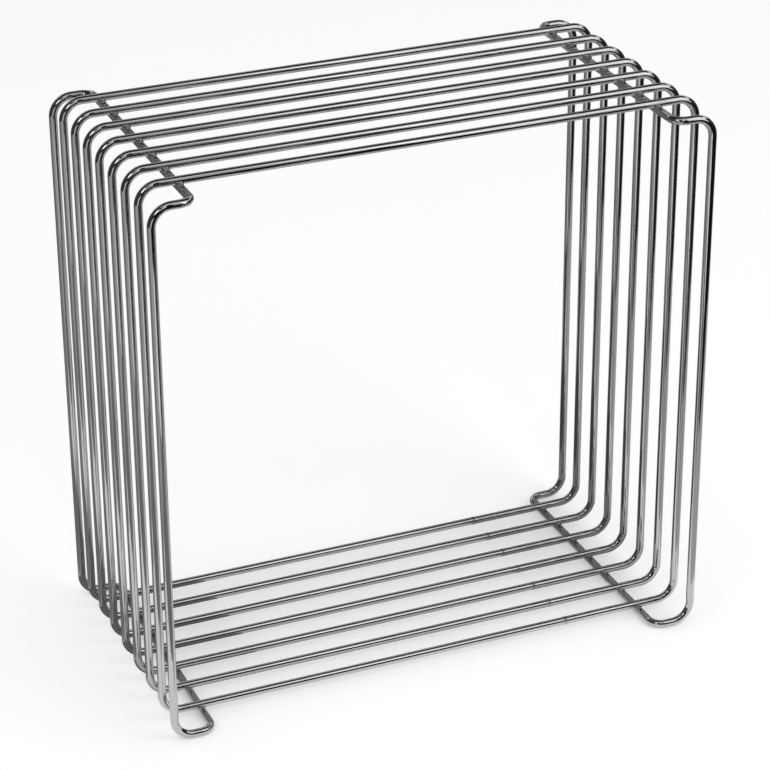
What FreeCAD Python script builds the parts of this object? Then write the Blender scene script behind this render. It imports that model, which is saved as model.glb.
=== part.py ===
import FreeCAD, Part
import math
import os

# Open wire shelf cube: seven upright rings of round wire, held in a row by one bent side frame
# on the left and one on the right. Millimetres, +Z up, the front faces -Y.
# The origin is on the floor, at the middle of the width and the depth.

# Overall sizes, over the outsides of the wires
overall_width = 348.0
overall_height = 348.0

# The wire and how it is bent; the radii are those of its centre line
wire_diameter = 5.0
corner_radius = 12.0
turn_radius = 8.0

# Planes of wire from front to rear: the side frames' front uprights, the rings, their rear uprights.
# The spacings are between the centres of the wires, and make the cube 188 deep.
ring_count = 7
ring_spacing = 23.3
end_spacing = 21.6

# Each side frame's two cross wires run under the rings, this far in from its uprights
cross_wire_inset = 24.5

# Resistance weld where a ring sits on a cross wire. The two wires sink into each other by the
# set-down, and a disc of fused metal spreads past their contact and bites into both.
weld_set_down = 0.4
nugget_spread = 0.5
nugget_bite = 0.1

# Butt weld that closes each bent wire: a low bead round the wire. A ring has it on the bottom run,
# this far in from its right upright. A side frame has it on its upper cross wire.
ring_seam_inset = 77.0
rings_behind_frame_seam = 3
bead_length = 1.4
bead_rise = 0.2

# Worked out from the sizes above
wire_radius = wire_diameter / 2.0
upright_x = overall_width / 2.0 - wire_radius
cross_wire_x = upright_x - cross_wire_inset
last_ring_y = (ring_count - 1) * ring_spacing / 2.0
frame_y = last_ring_y + end_spacing
layer_step = wire_diameter - weld_set_down
frame_bottom_z = wire_radius
ring_bottom_z = frame_bottom_z + layer_step
ring_top_z = overall_height - wire_radius
frame_top_z = ring_top_z - layer_step
ring_seam_x = upright_x - ring_seam_inset
frame_seam_y = last_ring_y - (rings_behind_frame_seam - 0.5) * ring_spacing
contact_radius = math.sqrt(wire_diameter * weld_set_down - weld_set_down ** 2 / 2.0)
nugget_radius = contact_radius + nugget_spread
gap_at_nugget_rim = layer_step - 2.0 * math.sqrt(wire_radius ** 2 - nugget_radius ** 2)
nugget_height = gap_at_nugget_rim + 2.0 * nugget_bite

to_the_right = FreeCAD.Vector(1, 0, 0)
to_the_rear = FreeCAD.Vector(0, 1, 0)
upward = FreeCAD.Vector(0, 0, 1)


def ring_place(number):
    """Y of a ring's plane; ring 1 is the front one."""
    return (number - 1) * ring_spacing - last_ring_y


def ring_seam(number):
    """Where a ring's two ends meet, on its bottom run."""
    return FreeCAD.Vector(ring_seam_x, ring_place(number), ring_bottom_z)


def side_frame_seam(side):
    """Where a side frame's two ends meet, on its upper cross wire, half-way between two rings."""
    return FreeCAD.Vector(side * cross_wire_x, frame_seam_y, frame_top_z)


def straight_run(start, end):
    """Round wire from one point to another."""
    along = end - start
    return Part.makeCylinder(wire_radius, along.Length, start, along)


def bend(before, corner, after, radius):
    """Where the centre line leaves the first straight and meets the next, and the bent wire between."""
    inward = (before - corner).normalize()
    outward = (after - corner).normalize()
    half_angle = inward.getAngle(outward) / 2.0
    reach = radius / math.tan(half_angle)
    start = corner + inward * reach
    end = corner + outward * reach
    centre = corner + (inward + outward).normalize() * (radius / math.sin(half_angle))
    heading = corner - start
    section = Part.Face(Part.Wire(Part.makeCircle(wire_radius, start, heading)))
    turned = 180.0 - math.degrees(2.0 * half_angle)
    return start, end, section.revolve(centre, heading.cross(centre - start), turned)


def bent_wire(corners, radii, seam, heading):
    """One length of wire bent through the corners, open at the seam by the length of its weld."""
    half_gap = heading * (bead_length / 2.0)
    points = [seam + half_gap] + corners + [seam - half_gap]
    stretches = []
    reached = points[0]
    for index, radius in enumerate(radii):
        start, end, bent = bend(*points[index:index + 3], radius)
        stretches += [straight_run(reached, start), bent]
        reached = end
    stretches.append(straight_run(reached, points[-1]))
    return stretches[0].multiFuse(stretches[1:]).removeSplitter()


def butt_weld(seam, heading):
    """Bead of a butt weld: as long as the gap that it closes, and proud of the wire in the middle."""
    first = seam - heading * (bead_length / 2.0)
    last = seam + heading * (bead_length / 2.0)
    rim = heading.cross(to_the_right + to_the_rear).normalize() * wire_radius
    crown = seam + rim * (1.0 + bead_rise / wire_radius)
    outline = [
        Part.makeLine(first, first + rim),
        Part.Arc(first + rim, crown, last + rim).toShape(),
        Part.makeLine(last + rim, last),
        Part.makeLine(last, first),
    ]
    return Part.Face(Part.Wire(outline)).revolve(seam, heading, 360)


def ring(number):
    """A ring, from its seam to the right and round over the top."""
    y = ring_place(number)
    corners = [
        FreeCAD.Vector(upright_x, y, ring_bottom_z),
        FreeCAD.Vector(upright_x, y, ring_top_z),
        FreeCAD.Vector(-upright_x, y, ring_top_z),
        FreeCAD.Vector(-upright_x, y, ring_bottom_z),
    ]
    return bent_wire(corners, [corner_radius] * 4, ring_seam(number), to_the_right)


def side_frame(side):
    """A side frame: -1 is the left one, 1 the right one. It starts at its seam, towards the rear."""
    outer = side * upright_x
    inner = side * cross_wire_x
    corners = [
        FreeCAD.Vector(inner, frame_y, frame_top_z),
        FreeCAD.Vector(outer, frame_y, frame_top_z),
        FreeCAD.Vector(outer, frame_y, frame_bottom_z),
        FreeCAD.Vector(inner, frame_y, frame_bottom_z),
        FreeCAD.Vector(inner, -frame_y, frame_bottom_z),
        FreeCAD.Vector(outer, -frame_y, frame_bottom_z),
        FreeCAD.Vector(outer, -frame_y, frame_top_z),
        FreeCAD.Vector(inner, -frame_y, frame_top_z),
    ]
    end_radii = [turn_radius, corner_radius, corner_radius, turn_radius]
    return bent_wire(corners, end_radii * 2, side_frame_seam(side), to_the_rear)


def nugget(number, side, cross_wire_z):
    """Disc of fused metal between a ring and the cross wire under it."""
    base_z = cross_wire_z + layer_step / 2.0 - nugget_height / 2.0
    base = FreeCAD.Vector(side * cross_wire_x, ring_place(number), base_z)
    return Part.makeCylinder(nugget_radius, nugget_height, base, upward)


def save(shape, name):
    """Write one node."""
    shape.exportStep("parts/" + name + ".step")


os.makedirs("parts", exist_ok=True)

ring_numbers = range(1, ring_count + 1)
sides = {"left": -1, "right": 1}
levels = {"lower": frame_bottom_z, "upper": frame_top_z}

nuggets = {}
for side_name, side in sides.items():
    for level_name, cross_wire_z in levels.items():
        for number in ring_numbers:
            nuggets[level_name, side_name, number] = nugget(number, side, cross_wire_z)

for number in ring_numbers:
    own_nuggets = [nuggets[level, side, number] for level in levels for side in sides]
    save(ring(number).cut(own_nuggets), "ring_" + str(number))
    save(butt_weld(ring_seam(number), to_the_right), "ring_" + str(number) + "_butt_weld")

for side_name, side in sides.items():
    own_nuggets = [nuggets[level, side_name, number] for level in levels for number in ring_numbers]
    save(side_frame(side).cut(own_nuggets), side_name + "_side_frame")
    save(butt_weld(side_frame_seam(side), to_the_rear), side_name + "_side_frame_butt_weld")
    for level_name in levels:
        row = [nuggets[level_name, side_name, number] for number in ring_numbers]
        save(Part.makeCompound(row), level_name + "_" + side_name + "_cross_welds")
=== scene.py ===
"""Looks of an open wire shelf cube: bent chrome wire, its welds, and the studio that it stands in.

Metres, +Z up, the front faces -Y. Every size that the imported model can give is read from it.
"""

import logging
import math
from dataclasses import dataclass, field
from enum import Enum

import bpy
from mathutils import Matrix, Vector

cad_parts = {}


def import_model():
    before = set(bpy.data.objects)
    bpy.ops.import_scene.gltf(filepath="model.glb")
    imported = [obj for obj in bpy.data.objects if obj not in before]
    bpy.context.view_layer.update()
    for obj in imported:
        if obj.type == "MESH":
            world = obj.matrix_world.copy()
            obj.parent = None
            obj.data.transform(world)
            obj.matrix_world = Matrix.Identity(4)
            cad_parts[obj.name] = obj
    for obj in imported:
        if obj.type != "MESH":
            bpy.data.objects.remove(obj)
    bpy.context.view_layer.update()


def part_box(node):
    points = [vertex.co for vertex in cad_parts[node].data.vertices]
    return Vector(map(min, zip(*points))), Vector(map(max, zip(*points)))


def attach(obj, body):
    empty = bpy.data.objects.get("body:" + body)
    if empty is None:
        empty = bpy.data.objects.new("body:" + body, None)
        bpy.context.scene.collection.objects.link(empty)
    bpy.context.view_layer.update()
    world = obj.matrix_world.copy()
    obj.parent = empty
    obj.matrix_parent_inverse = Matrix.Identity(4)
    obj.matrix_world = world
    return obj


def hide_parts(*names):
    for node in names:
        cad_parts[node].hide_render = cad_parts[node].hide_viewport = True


log = logging.getLogger("shelf_cube")

MM = 0.001
IMAGE_SIDE = 770
SENSOR_WIDTH = 36.0
UNROLLED = "unrolled_wire"
WIRE_CREASE = math.radians(50.0)
WELD_CREASE = math.radians(60.0)

RIGHT = Vector((1.0, 0.0, 0.0))
LEFT = Vector((-1.0, 0.0, 0.0))
REAR = Vector((0.0, 1.0, 0.0))
FRONT = Vector((0.0, -1.0, 0.0))
UP = Vector((0.0, 0.0, 1.0))
DOWN = Vector((0.0, 0.0, -1.0))


class Slot(Enum):
    """Material slots of the record."""

    WIRE = "chrome_wire"
    WELD = "chrome_weld"


class Side(Enum):
    """The two ends of the cube's width, each with its sign along X."""

    LEFT = -1
    RIGHT = 1

    @property
    def word(self) -> str:
        """The side's name as the nodes have it."""
        return self.name.lower()


class Level(Enum):
    """The two layers of cross wires."""

    LOWER = "lower"
    UPPER = "upper"


@dataclass(frozen=True)
class Gauge:
    """The wire and how it is bent and divided."""

    radius: float
    corner_radius: float = 12.0 * MM
    turn_radius: float = 8.0 * MM
    sides: int = 32
    steps_per_bend: int = 20


def clear_selection() -> None:
    """Deselects every object, because an operator acts on all that is selected."""
    bpy.ops.object.select_all(action="DESELECT")


def select_vertices(piece: bpy.types.Object, wanted: range) -> None:
    """Selects some vertices of a piece that is in edit mode, and nothing else.

    Args:
        piece: The piece being edited.
        wanted: Indices of the vertices.
    """
    bpy.ops.mesh.select_all(action="DESELECT")
    bpy.ops.object.mode_set(mode="OBJECT")
    for index in wanted:
        piece.data.vertices[index].select = True
    bpy.ops.object.mode_set(mode="EDIT")


def first_section(name: str, gauge: Gauge, place: Vector, heading: Vector) -> bpy.types.Object:
    """Starts a length of wire as one circle across it, in edit mode and all selected.

    Args:
        name: The piece's name.
        gauge: The wire's sizes.
        place: Centre of the section.
        heading: Direction that the wire leaves in.

    Returns:
        The piece.
    """
    clear_selection()
    bpy.ops.mesh.primitive_circle_add(
        vertices=gauge.sides,
        radius=gauge.radius,
        fill_type="NOTHING",
        location=place,
        rotation=heading.to_track_quat("Z", "Y").to_euler(),
    )
    piece = bpy.context.object
    piece.name = piece.data.name = name
    bpy.ops.object.transform_apply(location=True, rotation=True, scale=True)
    bpy.ops.object.mode_set(mode="EDIT")
    bpy.ops.mesh.select_all(action="SELECT")
    return piece


def close_ends(piece: bpy.types.Object, sides: int, sections: int, crease: float) -> None:
    """Closes both ends of a length of wire, turns its faces outward and smooths it.

    Args:
        piece: The piece being edited.
        sides: Vertices of each section.
        sections: How many sections it has.
        crease: Angle above which an edge stays sharp.
    """
    last = (sections - 1) * sides
    for first_of_end in (0, last):
        select_vertices(piece, range(first_of_end, first_of_end + sides))
        bpy.ops.mesh.edge_face_add()
    bpy.ops.mesh.select_all(action="SELECT")
    bpy.ops.mesh.normals_make_consistent(inside=False)
    bpy.ops.object.mode_set(mode="OBJECT")
    bpy.ops.object.shade_smooth_by_angle(angle=crease)


class WireBender:
    """Makes one length of round wire, as a bending machine does: a straight push, then a turn."""

    def __init__(self, name: str, gauge: Gauge, start: Vector, heading: Vector) -> None:
        """Puts down the first section of the wire.

        Args:
            name: The piece's name.
            gauge: The wire's sizes.
            start: Centre of the first section.
            heading: Direction that the wire leaves in.
        """
        self.gauge = gauge
        self.piece = first_section(name, gauge, start, heading)
        self.reached = start
        self.run_lengths = [0.0]

    def push(self, end: Vector) -> None:
        """Runs the wire straight on.

        Args:
            end: The point that it runs to.
        """
        along = end - self.reached
        bpy.ops.mesh.extrude_region_move(TRANSFORM_OT_translate={"value": along})
        self.run_lengths.append(self.run_lengths[-1] + along.length)
        self.reached = end

    def turn(self, corner: Vector, after: Vector, radius: float) -> None:
        """Runs the wire up to a corner and bends it towards the next point.

        Args:
            corner: Where the straights would meet.
            after: The point that the wire heads for after the bend.
            radius: Radius of the centre line.
        """
        inward = (self.reached - corner).normalized()
        outward = (after - corner).normalized()
        half_angle = inward.angle(outward) / 2.0
        reach = radius / math.tan(half_angle)
        self.push(corner + inward * reach)
        centre = corner + (inward + outward).normalized() * (radius / math.sin(half_angle))
        turned = math.pi - 2.0 * half_angle
        steps = self.gauge.steps_per_bend
        axis = (-inward).cross(centre - self.reached)
        # The spin operator turns the other way round its axis than the right-hand rule says
        bpy.ops.mesh.spin(steps=steps, angle=-turned, center=centre, axis=axis)
        first = self.run_lengths[-1]
        self.run_lengths += [first + radius * turned * (step + 1) / steps for step in range(steps)]
        self.reached = corner + outward * reach

    def finish(self, offset: float) -> bpy.types.Object:
        """Closes both ends, turns the faces outward and stores the wire's own coordinates.

        Args:
            offset: Added to the length coordinate, so that no two wires have the same marks.

        Returns:
            The finished wire.
        """
        sides = self.gauge.sides
        close_ends(self.piece, sides, len(self.run_lengths), WIRE_CREASE)
        unrolled = self.piece.data.attributes.new(UNROLLED, "FLOAT_VECTOR", "POINT")
        for index, entry in enumerate(unrolled.data):
            section, place = divmod(index, sides)
            around = 2.0 * math.pi * place / sides
            across = (math.cos(around) * self.gauge.radius, math.sin(around) * self.gauge.radius)
            entry.vector = (self.run_lengths[section] + offset, *across)
        return self.piece


@dataclass
class BentWire:
    """One closed loop of wire, open at its seam by the length of the butt weld."""

    name: str
    gauge: Gauge
    corners: list[Vector]
    radii: list[float]
    seam: Vector
    heading: Vector
    gap: float
    offset: float = 0.0

    def build(self) -> bpy.types.Object:
        """Models the wire from one end to the other.

        Returns:
            The wire.
        """
        start = self.seam + self.heading * (self.gap / 2.0)
        end = self.seam - self.heading * (self.gap / 2.0)
        bender = WireBender(self.name, self.gauge, start, self.heading)
        following = self.corners[1:] + [end]
        for corner, after, radius in zip(self.corners, following, self.radii):
            bender.turn(corner, after, radius)
        bender.push(end)
        return bender.finish(self.offset)


def middle(node: str) -> Vector:
    """Gives the centre of a CAD node's box.

    Args:
        node: The node's name.

    Returns:
        The centre.
    """
    low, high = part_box(node)
    return (low + high) / 2.0


def hand_over(piece: bpy.types.Object, node: str, finish: bpy.types.Material) -> None:
    """Gives a finished piece its material, its body and the CAD node that it stands for.

    Args:
        piece: The finished piece.
        node: The CAD node that it replaces.
        finish: The material.
    """
    piece.data.materials.clear()
    piece.data.materials.append(finish)
    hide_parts(node)
    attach(piece, "root")
    log.info("%s: %d faces, replaces %s", piece.name, len(piece.data.polygons), node)


def copy_of(piece: bpy.types.Object, name: str, shift: Vector) -> bpy.types.Object:
    """Copies a piece with a mesh of its own, moved within that mesh.

    Args:
        piece: The piece to copy.
        name: The copy's name.
        shift: How far the copy lies from the first.

    Returns:
        The copy.
    """
    twin = piece.copy()
    twin.data = piece.data.copy()
    twin.name = twin.data.name = name
    twin.data.transform(Matrix.Translation(shift))
    bpy.context.collection.objects.link(twin)
    return twin


@dataclass
class ButtWeldBead:
    """The upset bead of a butt weld: two low lips with a fine groove where the ends met."""

    name: str
    gauge: Gauge
    seam: Vector
    heading: Vector
    length: float
    shoulder_rise: float = 0.06 * MM
    lip_rise: float = 0.18 * MM
    groove_depth: float = 0.10 * MM

    def profile(self) -> list[tuple[float, float]]:
        """Gives the bead's outline from one end to the other.

        Returns:
            Places along the bead, as shares of its length, and the radius at each.
        """
        wire = self.gauge.radius
        lip = wire + self.lip_rise
        groove = wire - self.groove_depth
        shoulder = wire + self.shoulder_rise
        # The foot, the shoulder, both edges of the lip, and the slope into the groove
        half = [(0.0, wire), (0.08, shoulder), (0.2, lip), (0.34, lip), (0.44, wire), (0.48, groove)]
        return half + [(1.0 - place, radius) for place, radius in reversed(half)]

    def build(self) -> bpy.types.Object:
        """Models the bead by extruding a section along the seam and sizing each step.

        Returns:
            The bead.
        """
        start = self.seam - self.heading * (self.length / 2.0)
        piece = first_section(self.name, self.gauge, start, self.heading)
        stations = self.profile()
        for (here, radius), (there, next_radius) in zip(stations, stations[1:]):
            step = self.heading * (self.length * (there - here))
            bpy.ops.mesh.extrude_region_move(TRANSFORM_OT_translate={"value": step})
            factor = next_radius / radius
            centre = start + self.heading * (self.length * there)
            bpy.ops.transform.resize(value=(factor, factor, factor), center_override=centre)
        close_ends(piece, self.gauge.sides, len(stations), WELD_CREASE)
        return piece


@dataclass
class ShelfRings:
    """The seven upright rings, each with the bead of its butt weld. No two have the same marks."""

    gauge: Gauge
    count: int = 7
    mark_shift: float = 1.7
    wires: list[bpy.types.Object] = field(default_factory=list)
    beads: list[bpy.types.Object] = field(default_factory=list)

    def node(self, number: int) -> str:
        """The CAD node of a ring; ring 1 is the front one."""
        return f"ring_{number}"

    def seam_node(self, number: int) -> str:
        """The CAD node of a ring's butt weld."""
        return f"ring_{number}_butt_weld"

    def corners(self, number: int) -> list[Vector]:
        """Works out the corners of a ring's centre line.

        Args:
            number: The ring's number.

        Returns:
            The corners from the lower right one, anticlockwise as seen from the front.
        """
        low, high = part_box(self.node(number))
        inset = Vector((self.gauge.radius, 0.0, self.gauge.radius))
        low, high, y = low + inset, high - inset, middle(self.node(number)).y
        places = [(high.x, low.z), (high.x, high.z), (low.x, high.z), (low.x, low.z)]
        return [Vector((x, y, z)) for x, z in places]

    def build(self) -> None:
        """Models each ring and its bead."""
        for number in range(1, self.count + 1):
            low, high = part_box(self.seam_node(number))
            seam = middle(self.seam_node(number))
            radii = [self.gauge.corner_radius] * 4
            wire = BentWire(
                f"ring_wire_{number}",
                self.gauge,
                self.corners(number),
                radii,
                seam,
                RIGHT,
                high.x - low.x,
                offset=number * self.mark_shift,
            )
            self.wires.append(wire.build())
            bead = ButtWeldBead(f"ring_bead_{number}", self.gauge, seam, RIGHT, high.x - low.x)
            self.beads.append(bead.build())

    def dress(self, wire_finish: bpy.types.Material, weld_finish: bpy.types.Material) -> None:
        """Hands the rings and beads over to the frame.

        Args:
            wire_finish: Chrome of the wires.
            weld_finish: Chrome of the welds.
        """
        for number, (wire, bead) in enumerate(zip(self.wires, self.beads), start=1):
            hand_over(wire, self.node(number), wire_finish)
            hand_over(bead, self.seam_node(number), weld_finish)


@dataclass
class SideFrames:
    """The left and right side frames, each with the bead of its butt weld and marks of its own."""

    gauge: Gauge
    cross_wire_x: float
    first_mark_shift: float = 20.0
    mark_shift: float = 2.3
    wires: dict[Side, bpy.types.Object] = field(default_factory=dict)
    beads: dict[Side, bpy.types.Object] = field(default_factory=dict)

    def node(self, side: Side) -> str:
        """The CAD node of a side frame."""
        return f"{side.word}_side_frame"

    def seam_node(self, side: Side) -> str:
        """The CAD node of a side frame's butt weld."""
        return f"{side.word}_side_frame_butt_weld"

    def corners(self, side: Side) -> list[Vector]:
        """Works out the corners of a side frame's centre line.

        Args:
            side: The frame's side.

        Returns:
            The corners from the seam towards the rear, down, and back along the bottom.
        """
        low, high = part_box(self.node(side))
        inset = Vector((self.gauge.radius, self.gauge.radius, self.gauge.radius))
        low, high = low + inset, high - inset
        outer = low.x if side is Side.LEFT else high.x
        inner = side.value * self.cross_wire_x
        places = [(inner, high.z), (outer, high.z), (outer, low.z), (inner, low.z)]
        rear = [(x, high.y, z) for x, z in places]
        front = [(x, low.y, z) for x, y, z in reversed(rear)]
        return [Vector(place) for place in rear + front]

    def build(self) -> None:
        """Models each side frame and its bead."""
        turn, corner = self.gauge.turn_radius, self.gauge.corner_radius
        radii = [turn, corner, corner, turn] * 2
        for side in Side:
            low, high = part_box(self.seam_node(side))
            seam = middle(self.seam_node(side))
            wire = BentWire(
                f"{side.word}_frame_wire",
                self.gauge,
                self.corners(side),
                radii,
                seam,
                REAR,
                high.y - low.y,
                offset=self.first_mark_shift + side.value * self.mark_shift,
            )
            self.wires[side] = wire.build()
            bead = ButtWeldBead(f"{side.word}_frame_bead", self.gauge, seam, REAR, high.y - low.y)
            self.beads[side] = bead.build()

    def dress(self, wire_finish: bpy.types.Material, weld_finish: bpy.types.Material) -> None:
        """Hands the side frames and beads over to the frame.

        Args:
            wire_finish: Chrome of the wires.
            weld_finish: Chrome of the welds.
        """
        for side in Side:
            hand_over(self.wires[side], self.node(side), wire_finish)
            hand_over(self.beads[side], self.seam_node(side), weld_finish)


@dataclass
class CrossWelds:
    """Rows of resistance welds between the rings and the cross wires."""

    gauge: Gauge
    rounding: float = 0.35 * MM
    rounding_steps: int = 4
    collar: float = 0.25 * MM
    sides: int = 36
    rows: dict[tuple[Level, Side], bpy.types.Object] = field(default_factory=dict)

    def node(self, level: Level, side: Side) -> str:
        """The CAD node of a row of welds."""
        return f"{level.value}_{side.word}_cross_welds"

    def model_nugget(self, place: Vector, radius: float, height: float) -> bpy.types.Object:
        """Models one disc of fused metal, with the rounded collar that was squeezed out.

        Args:
            place: Centre of the disc.
            radius: Radius of the disc.
            height: Height of the disc.

        Returns:
            The disc.
        """
        clear_selection()
        bpy.ops.mesh.primitive_cylinder_add(
            vertices=self.sides,
            radius=radius + self.collar,
            depth=height,
            location=place,
        )
        piece = bpy.context.object
        bpy.ops.object.transform_apply(location=True, rotation=True, scale=True)
        bpy.ops.object.mode_set(mode="EDIT")
        bpy.ops.mesh.select_mode(type="EDGE")
        bpy.ops.mesh.select_all(action="DESELECT")
        bpy.ops.object.mode_set(mode="OBJECT")
        vertices = piece.data.vertices
        for edge in piece.data.edges:
            first, second = (vertices[index].co.z for index in edge.vertices)
            edge.select = abs(first - second) < height / 2.0
        bpy.ops.object.mode_set(mode="EDIT")
        bpy.ops.mesh.bevel(offset=self.rounding, segments=self.rounding_steps, affect="EDGES")
        bpy.ops.object.mode_set(mode="OBJECT")
        bpy.ops.object.shade_smooth_by_angle(angle=WELD_CREASE)
        return piece

    def build(self, ring_places: list[float], heights: dict[Level, float], cross_wire_x: float) -> None:
        """Models one disc and copies it to each crossing, one joined piece a row.

        Args:
            ring_places: Y of each ring.
            heights: Middle height of the welds at each level.
            cross_wire_x: Distance of the cross wires from the cube's middle.
        """
        low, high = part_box(self.node(Level.LOWER, Side.LEFT))
        radius = (high.x - low.x) / 2.0
        first = self.model_nugget(Vector((0.0, 0.0, 0.0)), radius, high.z - low.z)
        for level in Level:
            for side in Side:
                name = f"{level.value}_{side.word}_weld_row"
                places = [Vector((side.value * cross_wire_x, y, heights[level])) for y in ring_places]
                discs = [copy_of(first, f"{name}_{index}", place) for index, place in enumerate(places)]
                clear_selection()
                for disc in discs:
                    disc.select_set(True)
                bpy.context.view_layer.objects.active = discs[0]
                bpy.ops.object.join()
                row = bpy.context.object
                row.name = row.data.name = name
                self.rows[level, side] = row
        bpy.data.objects.remove(first)

    def dress(self, finish: bpy.types.Material) -> None:
        """Hands the rows of welds over to the frame.

        Args:
            finish: Chrome of the welds.
        """
        for (level, side), row in self.rows.items():
            hand_over(row, self.node(level, side), finish)


class NodeSheet:
    """The nodes of one material or world, added one call at a time."""

    def __init__(self, tree: bpy.types.NodeTree) -> None:
        """Starts with an empty tree.

        Args:
            tree: The tree to fill.
        """
        self.tree = tree
        tree.nodes.clear()

    def add(self, kind: str, settings: dict | None = None, inputs: dict | None = None) -> bpy.types.Node:
        """Adds a node.

        Args:
            kind: The node's type.
            settings: Its properties, set first.
            inputs: Values or links of its sockets, by name or number.

        Returns:
            The node.
        """
        node = self.tree.nodes.new(kind)
        for key, value in (settings or {}).items():
            setattr(node, key, value)
        for key, value in (inputs or {}).items():
            if isinstance(value, Signal):
                value = value.socket
            if isinstance(value, bpy.types.NodeSocket):
                self.tree.links.new(value, node.inputs[key])
            else:
                node.inputs[key].default_value = value
        return node

    def signal(self, socket: bpy.types.NodeSocket) -> "Signal":
        """Wraps a socket for arithmetic."""
        return Signal(self, socket)


Operand = "Signal | float"


class Signal:
    """A number that varies over a surface. Python's operators on it add Math nodes."""

    def __init__(self, sheet: NodeSheet, socket: bpy.types.NodeSocket) -> None:
        """Wraps a socket.

        Args:
            sheet: The nodes that it belongs to.
            socket: The output that gives the number.
        """
        self.sheet = sheet
        self.socket = socket

    def math(self, operation: str, *operands: Operand) -> "Signal":
        """Adds a Math node.

        Args:
            operation: The node's operation.
            operands: What it works on, in order.

        Returns:
            The result.
        """
        inputs = dict(enumerate(operands))
        node = self.sheet.add("ShaderNodeMath", {"operation": operation}, inputs)
        return Signal(self.sheet, node.outputs[0])

    def __add__(self, other: Operand) -> "Signal":
        """Self plus other."""
        return self.math("ADD", self, other)

    def __radd__(self, other: Operand) -> "Signal":
        """Other plus self."""
        return self.math("ADD", other, self)

    def __sub__(self, other: Operand) -> "Signal":
        """Self minus other."""
        return self.math("SUBTRACT", self, other)

    def __rsub__(self, other: Operand) -> "Signal":
        """Other minus self."""
        return self.math("SUBTRACT", other, self)

    def __mul__(self, other: Operand) -> "Signal":
        """Self times other."""
        return self.math("MULTIPLY", self, other)

    def size(self) -> "Signal":
        """The number without its sign."""
        return self.math("ABSOLUTE", self)

    def least(self, other: Operand) -> "Signal":
        """The smaller of two numbers."""
        return self.math("MINIMUM", self, other)

    def most(self, other: Operand) -> "Signal":
        """The larger of two numbers."""
        return self.math("MAXIMUM", self, other)

    def rise(self, start: float, end: float) -> "Signal":
        """Goes smoothly from 0 at start to 1 at end.

        Args:
            start: Where it is still 0.
            end: Where it reaches 1.

        Returns:
            The smooth step.
        """
        settings = {"interpolation_type": "SMOOTHSTEP"}
        inputs = {"Value": self, "From Min": start, "From Max": end}
        node = self.sheet.add("ShaderNodeMapRange", settings, inputs)
        return Signal(self.sheet, node.outputs["Result"])


@dataclass(frozen=True)
class Grain:
    """Noise on the metal: waves a metre along and across the wire, and how many finer layers it has."""

    along: float
    across: float
    detail: float


STREAKS = Grain(55.0, 2600.0, 3.0)
RIPPLE = Grain(130.0, 420.0, 2.0)
PATCHES = Grain(28.0, 180.0, 2.0)
PITS = Grain(2400.0, 2400.0, 2.0)

# Levels of the noise between which each kind of mark comes in
STREAK_LEVELS = (0.42, 0.8)
DULL_LEVELS = (0.5, 0.8)
TINT_LEVELS = (0.35, 0.75)
HAZE_LEVELS = (0.3, 0.7)


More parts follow.
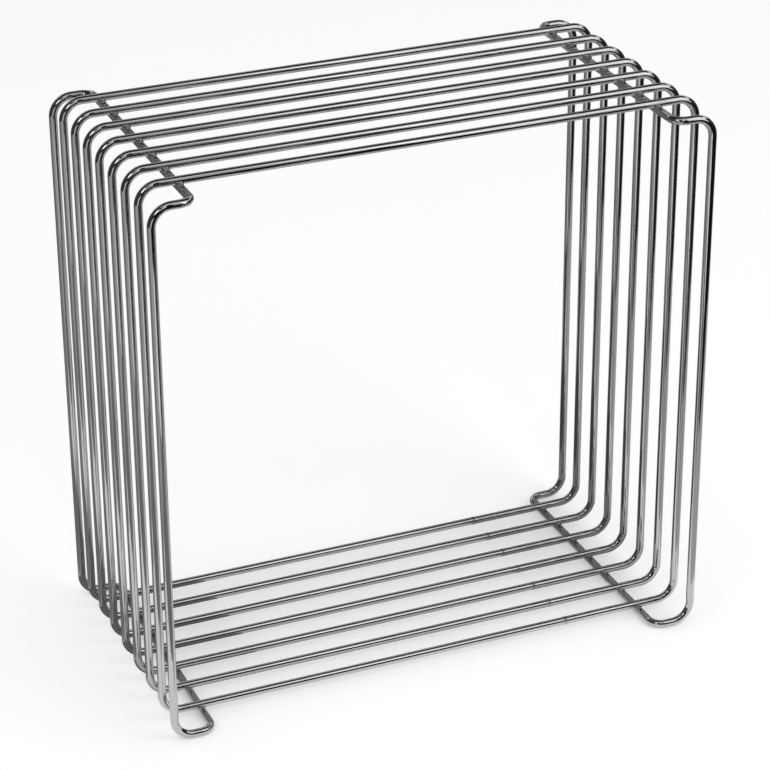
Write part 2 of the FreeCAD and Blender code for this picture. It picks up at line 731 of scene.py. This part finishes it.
@dataclass(frozen=True)
class Chrome:
    """Bright chrome plate over steel, with its marks along the wire and its haze near the welds."""

    name: str
    clean: tuple[float, float, float]
    tinted: tuple[float, float, float]
    roughness: float
    streak_roughness: float
    haze_roughness: float
    ripple_height: float
    streak_height: float
    follows_wire: bool
    cross_wire_x: float
    seam_x: float
    half_height: float
    crossing_heat: tuple[float, float] = (1.0 * MM, 9.0 * MM)
    seam_heat: tuple[float, float] = (0.5 * MM, 4.0 * MM)
    bend_start: float = 14.0 * MM
    bend_end: float = 11.0 * MM
    noise_roughness: float = 0.55
    tint_share: float = 0.5

    def noise(self, sheet: NodeSheet, place: bpy.types.NodeSocket, grain: Grain) -> Signal:
        """Noise on stretched coordinates.

        Args:
            sheet: The material's nodes.
            place: Coordinates of the surface.
            grain: The kind of noise.

        Returns:
            A number about 0.5.
        """
        stretch = (grain.along, grain.across, grain.across)
        scaled = sheet.add("ShaderNodeVectorMath", {"operation": "MULTIPLY"}, {0: place, 1: stretch})
        inputs = {
            "Vector": scaled.outputs[0],
            "Scale": 1.0,
            "Detail": grain.detail,
            "Roughness": self.noise_roughness,
        }
        return sheet.signal(sheet.add("ShaderNodeTexNoise", None, inputs).outputs["Fac"])

    def near_welds(self, sheet: NodeSheet) -> Signal:
        """Marks the surface round the crossings and the rings' seams.

        Args:
            sheet: The material's nodes.

        Returns:
            1 at a weld, falling to 0 beyond its heat.
        """
        spot = sheet.add("ShaderNodeTexCoord").outputs["Object"]
        parts = sheet.add("ShaderNodeSeparateXYZ", None, {0: spot})
        x, z = sheet.signal(parts.outputs["X"]), sheet.signal(parts.outputs["Z"])
        from_middle = (z - self.half_height).size()
        flat_run = from_middle.rise(self.half_height - self.bend_start, self.half_height - self.bend_end)
        crossing = 1.0 - (x.size() - self.cross_wire_x).size().rise(*self.crossing_heat)
        seam = 1.0 - (x - self.seam_x).size().rise(*self.seam_heat)
        return crossing.most(seam) * flat_run

    def make(self) -> bpy.types.Material:
        """Builds the material.

        Returns:
            The material.
        """
        material = bpy.data.materials.new(self.name)
        material.use_nodes = True
        sheet = NodeSheet(material.node_tree)
        if self.follows_wire:
            place = sheet.add("ShaderNodeAttribute", {"attribute_name": UNROLLED}).outputs["Vector"]
        else:
            place = sheet.add("ShaderNodeTexCoord").outputs["Object"]
        streaks = self.noise(sheet, place, STREAKS)
        ripple = self.noise(sheet, place, RIPPLE)
        patches = self.noise(sheet, place, PATCHES)
        pits = self.noise(sheet, place, PITS)
        heat = self.near_welds(sheet) * patches.rise(*HAZE_LEVELS)
        rough = (
            self.roughness
            + streaks.rise(*STREAK_LEVELS) * self.streak_roughness
            + patches.rise(*DULL_LEVELS) * self.streak_roughness
            + heat * self.haze_roughness
        )
        tint = (patches.rise(*TINT_LEVELS) * self.tint_share + heat * self.tint_share).least(1.0)
        colour = sheet.add(
            "ShaderNodeMix",
            {"data_type": "RGBA"},
            {"Factor": tint, "A": (*self.clean, 1.0), "B": (*self.tinted, 1.0)},
        )
        height = ripple * self.ripple_height + streaks * self.streak_height + pits * heat * self.streak_height
        bump = sheet.add("ShaderNodeBump", None, {"Height": height, "Strength": 1.0, "Distance": 1.0})
        shader = sheet.add(
            "ShaderNodeBsdfPrincipled",
            None,
            {
                "Base Color": colour.outputs["Result"],
                "Metallic": 1.0,
                "Roughness": rough,
                "Normal": bump.outputs["Normal"],
            },
        )
        sheet.add("ShaderNodeOutputMaterial", None, {"Surface": shader.outputs[0]})
        return material


def seen_directly(sheet: NodeSheet) -> Signal:
    """Tells the rays that show a background: those of the camera, and those off metal or through glass.

    Args:
        sheet: The nodes that ask.

    Returns:
        1 for these rays and 0 for the rest.
    """
    path = sheet.add("ShaderNodeLightPath")
    camera = sheet.signal(path.outputs["Is Camera Ray"])
    glossy = sheet.signal(path.outputs["Is Glossy Ray"])
    through = sheet.signal(path.outputs["Is Transmission Ray"])
    return (camera + glossy + through).least(1.0)


@dataclass(frozen=True)
class StudioCamera:
    """The viewing angle. The aim is where the middle of the view passes the cube's middle."""

    azimuth: float = -22.60
    elevation: float = 26.47
    roll: float = -0.40
    distance: float = 1.7012
    aim_right: float = 0.0023
    aim_up: float = -0.0151
    focal_pixels: float = 2783.2
    nearest: float = 0.05
    farthest: float = 50.0

    def build(self, centre: Vector) -> None:
        """Adds the camera.

        Args:
            centre: Middle of the rings.
        """
        turn, lift, roll = (math.radians(angle) for angle in (self.azimuth, self.elevation, self.roll))
        back = Vector((math.sin(turn) * math.cos(lift), -math.cos(turn) * math.cos(lift), math.sin(lift)))
        level = Vector((math.cos(turn), math.sin(turn), 0.0))
        above = back.cross(level)
        right = level * math.cos(roll) + above * math.sin(roll)
        up = above * math.cos(roll) - level * math.sin(roll)
        data = bpy.data.cameras.new("camera")
        data.sensor_width = SENSOR_WIDTH
        data.lens = self.focal_pixels * SENSOR_WIDTH / IMAGE_SIDE
        data.clip_start, data.clip_end = self.nearest, self.farthest
        camera = bpy.data.objects.new("camera", data)
        camera.rotation_mode = "QUATERNION"
        camera.rotation_quaternion = Matrix((right, up, back)).transposed().to_quaternion()
        camera.location = centre + back * self.distance + right * self.aim_right + up * self.aim_up
        bpy.context.collection.objects.link(camera)
        bpy.context.scene.camera = camera


@dataclass(frozen=True)
class SoftBox:
    """A rectangular soft lamp that faces the cube."""

    name: str
    place: tuple[float, float, float]
    width: float
    height: float
    brightness: float
    aim: tuple[float, float, float] = (0.0, 0.0, 0.17)

    def build(self) -> None:
        """Adds the lamp. Its power gives the wanted brightness at its face."""
        data = bpy.data.lights.new(self.name, "AREA")
        data.shape = "RECTANGLE"
        data.size, data.size_y = self.width, self.height
        data.energy = self.brightness * math.pi * self.width * self.height
        lamp = bpy.data.objects.new(self.name, data)
        lamp.location = self.place
        toward = Vector(self.aim) - Vector(self.place)
        lamp.rotation_euler = toward.to_track_quat("-Z", "Y").to_euler()
        bpy.context.collection.objects.link(lamp)


@dataclass(frozen=True)
class Card:
    """A plain card beside the cube, there only for the chrome to reflect. Shade 0 is black and 1 white."""

    name: str
    place: tuple[float, float, float]
    facing: Vector
    width: float
    height: float
    shade: float
    one_sided: bool = False

    def build(self) -> None:
        """Adds the card, unseen except in the metal."""
        clear_selection()
        bpy.ops.mesh.primitive_plane_add(
            size=1.0,
            location=self.place,
            rotation=self.facing.to_track_quat("Z", "Y").to_euler(),
        )
        card = bpy.context.object
        card.name = card.data.name = self.name
        card.scale = (self.width, self.height, 1.0)
        bpy.ops.object.transform_apply(location=True, rotation=True, scale=True)
        material = bpy.data.materials.new(self.name)
        material.use_nodes = True
        sheet = NodeSheet(material.node_tree)
        surface = sheet.add("ShaderNodeEmission", None, {"Color": (self.shade, self.shade, self.shade, 1.0)})
        if self.one_sided:
            behind = sheet.add("ShaderNodeNewGeometry").outputs["Backfacing"]
            clear = sheet.add("ShaderNodeBsdfTransparent").outputs[0]
            surface = sheet.add("ShaderNodeMixShader", None, {0: behind, 1: surface.outputs[0], 2: clear})
        sheet.add("ShaderNodeOutputMaterial", None, {"Surface": surface.outputs[0]})
        card.data.materials.append(material)
        card.visible_camera = False
        card.visible_diffuse = False
        card.visible_shadow = False


# A key lamp in three parts, high in front at the right, and a small lamp at the left
LAMPS = (
    SoftBox("key_lamp", (1.12, -1.17, 1.06), 0.9, 1.6, 1.35),
    SoftBox("key_lamp_middle", (0.60, -1.33, 1.10), 0.18, 1.35, 1.4),
    SoftBox("key_lamp_edge", (0.38, -1.39, 1.22), 0.26, 1.1, 0.5),
    SoftBox("left_lamp", (-0.77, -0.71, 0.94), 0.36, 0.36, 3.0),
)

# Upright cards near the cube, which draw the black lines along the uprights. The last two lean back a
# little, but stay unseen in the runs of the rings. They stand inside the cube as painted shade, a dark
# stand-in for its shaded inside that only the chrome shows, mainly along the lower right uprights.
TURNED_LEFT = Vector((-0.86, 0.51, 0.0))
RIGHT_AND_UP = Vector((1.0, 0.0, 0.35))
NEAR_CARDS = (
    Card("front_near_card", (0.385, -0.36, 0.12), REAR, 0.65, 0.24, 0.01),
    Card("front_louvre_1", (-0.12, -0.48, 0.12), LEFT, 0.24, 0.24, 0.01, one_sided=True),
    Card("front_louvre_2", (-0.065, -0.48, 0.12), LEFT, 0.24, 0.24, 0.01, one_sided=True),
    Card("front_louvre_3", (-0.01, -0.48, 0.12), LEFT, 0.24, 0.24, 0.01, one_sided=True),
    Card("front_louvre_4", (0.045, -0.48, 0.12), LEFT, 0.24, 0.24, 0.01, one_sided=True),
    Card("right_near_card", (0.74, -0.08, 0.15), TURNED_LEFT, 0.66, 0.30, 0.02),
    Card("front_card", (-0.085, -0.78, 0.26), REAR, 0.73, 0.53, 0.01),
    Card("front_middle_card", (0.32, -0.78, 0.215), REAR, 0.08, 0.43, 0.01),
    Card("front_right_card", (0.905, -0.78, 0.17), REAR, 1.09, 0.34, 0.01),
    # Painted shade: dark one-sided sheets inside the cube in place of its shaded inside, seen only in the
    # chrome
    Card("inner_low_painted_shade_card", (0.10, 0.07, 0.025), RIGHT_AND_UP, 0.26, 0.05, 0.08, one_sided=True),
    Card("inner_high_card", (0.0, 0.065, 0.05), RIGHT_AND_UP, 0.27, 0.10, 0.08, one_sided=True),
)

# Grey cards that lie on the floor, at different heights where they overlap. They tone the lower halves of
# the wires. The inner card is painted shade, the cube's shadow on the floor under it, and the two cross cards
# are painted shadows along the lower cross wires; only the chrome shows them.
FLOOR_CARDS = (
    # Painted shade: the cube's shadow on the floor under it, as the chrome reflects it
    Card("inner_floor_card", (0.01, 0.14, 0.001), UP, 0.54, 0.40, 0.58),
    # Painted shadows: darker floor along both lower cross wires, as the chrome reflects it
    Card("left_cross_floor_card", (-0.145, 0.12, 0.0017), UP, 0.10, 0.30, 0.17),
    Card("right_cross_floor_card", (0.145, 0.12, 0.0017), UP, 0.10, 0.30, 0.28),
    Card("front_floor_card", (0.30, -0.27, 0.0015), UP, 0.90, 0.26, 0.52),
    Card("right_floor_card", (0.49, 0.06, 0.0015), UP, 0.54, 0.40, 0.56),
    Card("left_near_floor_card", (-0.30, 0.21, 0.002), UP, 0.20, 0.52, 0.24),
    Card("left_corner_floor_card", (-0.20, -0.33, 0.003), UP, 0.40, 0.30, 0.24),
    Card("left_front_floor_card", (-0.90, -0.62, 0.004), UP, 1.0, 1.0, 0.50),
    Card("left_rear_floor_card", (-0.90, 0.43, 0.004), UP, 1.1, 1.1, 0.28),
    Card("rear_floor_card", (0.0, 0.92, 0.005), UP, 2.8, 1.14, 0.18),
    Card("rear_floor_strip", (0.0, 0.98, 0.006), UP, 0.36, 0.60, 0.85),
)

# Large cards all round and overhead. Those of the lamps stand behind them and hide the white surround.
FAR_CARDS = (
    Card("rear_card", (0.0, 1.4, 0.7), FRONT, 3.0, 1.4, 0.22),
    Card("rear_window_card", (0.0, 1.38, 0.42), FRONT, 1.15, 0.34, 1.0),
    Card("right_card", (1.35, 0.1, 0.45), LEFT, 2.4, 0.9, 0.05),
    Card("left_card", (-1.35, 0.0, 0.8), RIGHT, 2.8, 1.6, 0.06),
    Card("left_lamp_card", (-1.0, -1.0, 1.1), Vector((0.59, 0.545, -0.45)), 1.4, 1.4, 0.02),
    Card("key_lamp_card", (0.95, -1.75, 1.35), Vector((-0.35, 0.8, -0.5)), 2.2, 1.9, 0.02),
    Card("overhead_card", (0.1, 0.33, 1.45), DOWN, 2.9, 1.46, 0.04),
)


@dataclass
class Studio:
    """Plain pale floor, soft lamps, dark and grey cards, and a white surround."""

    floor_side: float = 12.0
    floor_colour: float = 0.92
    floor_lift: float = 0.22
    fill: float = 0.75

    def build_floor(self) -> None:
        """Adds the floor, which keeps the cube's shadow."""
        clear_selection()
        bpy.ops.mesh.primitive_plane_add(size=self.floor_side)
        floor = bpy.context.object
        floor.name = floor.data.name = "floor"
        material = bpy.data.materials.new("pale_floor")
        material.use_nodes = True
        sheet = NodeSheet(material.node_tree)
        paint = sheet.add("ShaderNodeBsdfDiffuse", None, {"Color": (*[self.floor_colour] * 3, 1.0)})
        glow = sheet.add("ShaderNodeEmission", None, {"Strength": seen_directly(sheet) * self.floor_lift})
        both = sheet.add("ShaderNodeAddShader", None, {0: paint.outputs[0], 1: glow.outputs[0]})
        sheet.add("ShaderNodeOutputMaterial", None, {"Surface": both.outputs[0]})
        floor.data.materials.append(material)

    def build_surround(self) -> None:
        """Makes the world white where it shows, and a plain fill light elsewhere."""
        world = bpy.data.worlds.new("surround")
        world.use_nodes = True
        bpy.context.scene.world = world
        sheet = NodeSheet(world.node_tree)
        strength = seen_directly(sheet) * (1.0 - self.fill) + self.fill
        white = sheet.add("ShaderNodeBackground", None, {"Color": (1.0, 1.0, 1.0, 1.0), "Strength": strength})
        sheet.add("ShaderNodeOutputWorld", None, {"Surface": white.outputs[0]})

    def build_furniture(self) -> None:
        """Adds the soft lamps and the cards that the chrome reflects."""
        for piece in LAMPS + NEAR_CARDS + FLOOR_CARDS + FAR_CARDS:
            piece.build()

    def build(self) -> None:
        """Builds the whole studio."""
        self.build_floor()
        self.build_surround()
        self.build_furniture()
        view = bpy.context.scene.view_settings
        view.view_transform = "Standard"


def main() -> None:
    """Builds the cube from its sub-assemblies, then the studio round it."""
    logging.basicConfig(level=logging.INFO, format="%(name)s: %(message)s")
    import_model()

    low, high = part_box("ring_1")
    gauge = Gauge(radius=(high.y - low.y) / 2.0)
    centre = (low + high) / 2.0
    centre.y = 0.0

    rings = ShelfRings(gauge)
    rings.build()
    cross_wire_x = middle("lower_right_cross_welds").x
    frames = SideFrames(gauge, cross_wire_x)
    frames.build()
    welds = CrossWelds(gauge)
    ring_places = [middle(rings.node(number)).y for number in range(1, rings.count + 1)]
    heights = {level: middle(welds.node(level, Side.LEFT)).z for level in Level}
    welds.build(ring_places, heights, cross_wire_x)

    places = {
        "cross_wire_x": cross_wire_x,
        "seam_x": middle(rings.seam_node(1)).x,
        "half_height": (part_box("left_side_frame")[0].z + high.z) / 2.0,
    }
    wire_finish = Chrome(
        "bright_chrome_wire",
        clean=(0.53, 0.535, 0.54),
        tinted=(0.44, 0.45, 0.46),
        roughness=0.045,
        streak_roughness=0.05,
        haze_roughness=0.16,
        ripple_height=0.000012,
        streak_height=0.000002,
        follows_wire=True,
        **places,
    ).make()
    weld_finish = Chrome(
        "chrome_over_weld",
        clean=(0.46, 0.465, 0.47),
        tinted=(0.30, 0.30, 0.31),
        roughness=0.16,
        streak_roughness=0.12,
        haze_roughness=0.14,
        ripple_height=0.00002,
        streak_height=0.00001,
        follows_wire=False,
        **places,
    ).make()
    rings.dress(wire_finish, weld_finish)
    frames.dress(wire_finish, weld_finish)
    welds.dress(weld_finish)

    StudioCamera().build(centre)
    Studio().build()


if __name__ == "__main__":
    main()
